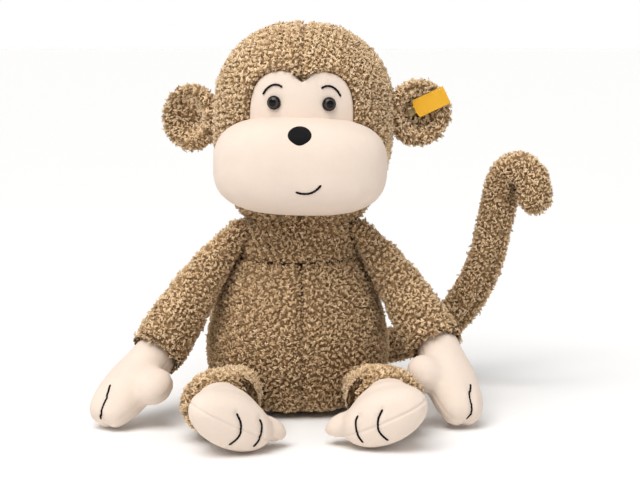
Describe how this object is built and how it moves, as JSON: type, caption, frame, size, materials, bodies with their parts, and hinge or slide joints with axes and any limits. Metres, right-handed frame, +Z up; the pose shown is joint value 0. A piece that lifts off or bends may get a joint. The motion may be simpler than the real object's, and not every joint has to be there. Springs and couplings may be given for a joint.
{
  "type": "plush toy monkey",
  "caption": "Sitting plush monkey with a round head, cupped ears, a pale muzzle, stuffed arms and legs with pale hands and feet, and a long hooked tail.",
  "frame": {"origin": "centre of the flat seat that the monkey sits on", "axes": "+Z up, -Y the way the monkey faces, +X towards the monkey's left side"},
  "size_m": [0.3441, 0.2673, 0.2829],
  "materials": {
    "brown_fur": "matte",
    "pale_plush": "matte",
    "stuffing": "matte",
    "pellet_bag": "matte",
    "washer": "matte",
    "eye": "gloss",
    "black_thread": "satin",
    "button": "satin",
    "flag": "matte"
  },
  "bodies": {
    "torso": {"chest_panel": "brown_fur", "belly_panel_right": "brown_fur", "belly_panel_left": "brown_fur", "back_panel_right": "brown_fur", "back_panel_left": "brown_fur", "seat_panel": "brown_fur", "torso_stuffing": "stuffing", "pellet_bag": "pellet_bag"},
    "neck_wad": {"neck_stuffing": "stuffing"},
    "neck_ring": {"neck_thread": "brown_fur"},
    "head": {"head_cover_right": "brown_fur", "head_cover_left": "brown_fur", "face_panel": "pale_plush", "muzzle_cover": "pale_plush", "muzzle_stuffing": "stuffing", "head_stuffing": "stuffing", "nose": "black_thread", "eye_right": "eye", "eye_left": "eye", "eye_washer_right": "washer", "eye_washer_left": "washer", "brow_right": "black_thread", "brow_left": "black_thread", "mouth_thread": "black_thread"},
    "ear_right": {"ear_front_right": "brown_fur", "ear_back_right": "brown_fur"},
    "ear_left": {"ear_front_left": "brown_fur", "ear_back_left": "brown_fur", "ear_button": "button", "ear_flag": "flag"},
    "shoulder_right": {"shoulder_stuffing_right": "stuffing"},
    "arm_right": {"sleeve_right": "brown_fur", "arm_stuffing_right": "stuffing"},
    "hand_right": {"hand_back_right": "pale_plush", "hand_palm_right": "pale_plush", "hand_stuffing_right": "stuffing"},
    "shoulder_left": {"shoulder_stuffing_left": "stuffing"},
    "arm_left": {"sleeve_left": "brown_fur", "arm_stuffing_left": "stuffing"},
    "hand_left": {"hand_back_left": "pale_plush", "hand_palm_left": "pale_plush", "hand_stuffing_left": "stuffing"},
    "hip_right": {"hip_stuffing_right": "stuffing"},
    "leg_right": {"leg_cover_right": "brown_fur", "leg_stuffing_right": "stuffing"},
    "foot_right": {"foot_top_right": "pale_plush", "foot_sole_right": "pale_plush", "foot_stuffing_right": "stuffing"},
    "hip_left": {"hip_stuffing_left": "stuffing"},
    "leg_left": {"leg_cover_left": "brown_fur", "leg_stuffing_left": "stuffing"},
    "foot_left": {"foot_top_left": "pale_plush", "foot_sole_left": "pale_plush", "foot_stuffing_left": "stuffing"},
    "tail_root": {"tail_root_stuffing": "stuffing"},
    "tail": {"tail_cover": "brown_fur", "tail_stuffing": "stuffing"}
  },
  "joints": [
    {"name": "neck_turn", "type": "hinge", "parent": "torso", "child": "neck_wad", "pos_m": [0, 0, 0.099], "axis": [0, 0, 1], "range_deg": [-35, 35], "stiffness_Nm_per_rad": 0.5},
    {"name": "neck_tilt", "type": "hinge", "parent": "neck_wad", "child": "neck_ring", "pos_m": [0, 0, 0.099], "axis": [0, 1, 0], "range_deg": [-8, 8], "stiffness_Nm_per_rad": 1.5},
    {"name": "neck_nod", "type": "hinge", "parent": "neck_ring", "child": "head", "pos_m": [0, 0, 0.099], "axis": [1, 0, 0], "range_deg": [-8, 12], "stiffness_Nm_per_rad": 1.5},
    {"name": "ear_right_flex", "type": "hinge", "parent": "head", "child": "ear_right", "pos_m": [-0.06332, 0.00567, 0.21174], "axis": [-0.0261, 0.0023, -0.9997], "range_deg": [-15, 20], "stiffness_Nm_per_rad": 0.02},
    {"name": "ear_left_flex", "type": "hinge", "parent": "head", "child": "ear_left", "pos_m": [0.07232, -0.0062, 0.21618], "axis": [0.0261, -0.0023, 0.9997], "range_deg": [-15, 20], "stiffness_Nm_per_rad": 0.02},
    {"name": "shoulder_right_swing", "type": "hinge", "parent": "torso", "child": "shoulder_right", "pos_m": [-0.0575, -0.02, 0.117], "axis": [-1, 0, 0], "range_deg": [-8, 35], "stiffness_Nm_per_rad": 0.15},
    {"name": "shoulder_right_raise", "type": "hinge", "parent": "shoulder_right", "child": "arm_right", "pos_m": [-0.0575, -0.02, 0.117], "axis": [0, 1, 0], "range_deg": [0, 35], "stiffness_Nm_per_rad": 0.15},
    {"name": "wrist_right_flex", "type": "hinge", "parent": "arm_right", "child": "hand_right", "pos_m": [-0.106, -0.048, 0.044], "axis": [0.7295, -0.6825, -0.0447], "range_deg": [-15, 15], "stiffness_Nm_per_rad": 0.04},
    {"name": "shoulder_left_swing", "type": "hinge", "parent": "torso", "child": "shoulder_left", "pos_m": [0.0575, -0.02, 0.117], "axis": [-1, 0, 0], "range_deg": [-8, 35], "stiffness_Nm_per_rad": 0.15},
    {"name": "shoulder_left_raise", "type": "hinge", "parent": "shoulder_left", "child": "arm_left", "pos_m": [0.0575, -0.02, 0.117], "axis": [0, -1, 0], "range_deg": [0, 35], "stiffness_Nm_per_rad": 0.15},
    {"name": "wrist_left_flex", "type": "hinge", "parent": "arm_left", "child": "hand_left", "pos_m": [0.098, -0.056, 0.049], "axis": [0.8805, 0.4402, -0.1761], "range_deg": [-15, 15], "stiffness_Nm_per_rad": 0.04},
    {"name": "hip_right_lift", "type": "hinge", "parent": "torso", "child": "hip_right", "pos_m": [-0.04493, -0.0569, 0.025], "axis": [-1, 0, 0], "range_deg": [-5, 25], "stiffness_Nm_per_rad": 0.3},
    {"name": "hip_right_spread", "type": "hinge", "parent": "hip_right", "child": "leg_right", "pos_m": [-0.04493, -0.0569, 0.025], "axis": [0, 0, -1], "range_deg": [-8, 15], "stiffness_Nm_per_rad": 0.3},
    {"name": "ankle_right_flex", "type": "hinge", "parent": "leg_right", "child": "foot_right", "pos_m": [-0.06193, -0.1239, 0.0252], "axis": [-1, 0, 0], "range_deg": [-12, 12], "stiffness_Nm_per_rad": 0.06},
    {"name": "hip_left_lift", "type": "hinge", "parent": "torso", "child": "hip_left", "pos_m": [0.04493, -0.0569, 0.025], "axis": [-1, 0, 0], "range_deg": [-5, 25], "stiffness_Nm_per_rad": 0.3},
    {"name": "hip_left_spread", "type": "hinge", "parent": "hip_left", "child": "leg_left", "pos_m": [0.04493, -0.0569, 0.025], "axis": [0, 0, 1], "range_deg": [-8, 5], "stiffness_Nm_per_rad": 0.3},
    {"name": "ankle_left_flex", "type": "hinge", "parent": "leg_left", "child": "foot_left", "pos_m": [0.05593, -0.1209, 0.0252], "axis": [-1, 0, 0], "range_deg": [-12, 12], "stiffness_Nm_per_rad": 0.06},
    {"name": "tail_swing", "type": "hinge", "parent": "torso", "child": "tail_root", "pos_m": [0, 0.062, 0.034], "axis": [0, 0, 1], "range_deg": [-6, 10], "stiffness_Nm_per_rad": 0.5},
    {"name": "tail_lift", "type": "hinge", "parent": "tail_root", "child": "tail", "pos_m": [0, 0.062, 0.034], "axis": [1, 0, 0], "range_deg": [-3, 8], "stiffness_Nm_per_rad": 0.5}
  ]
}
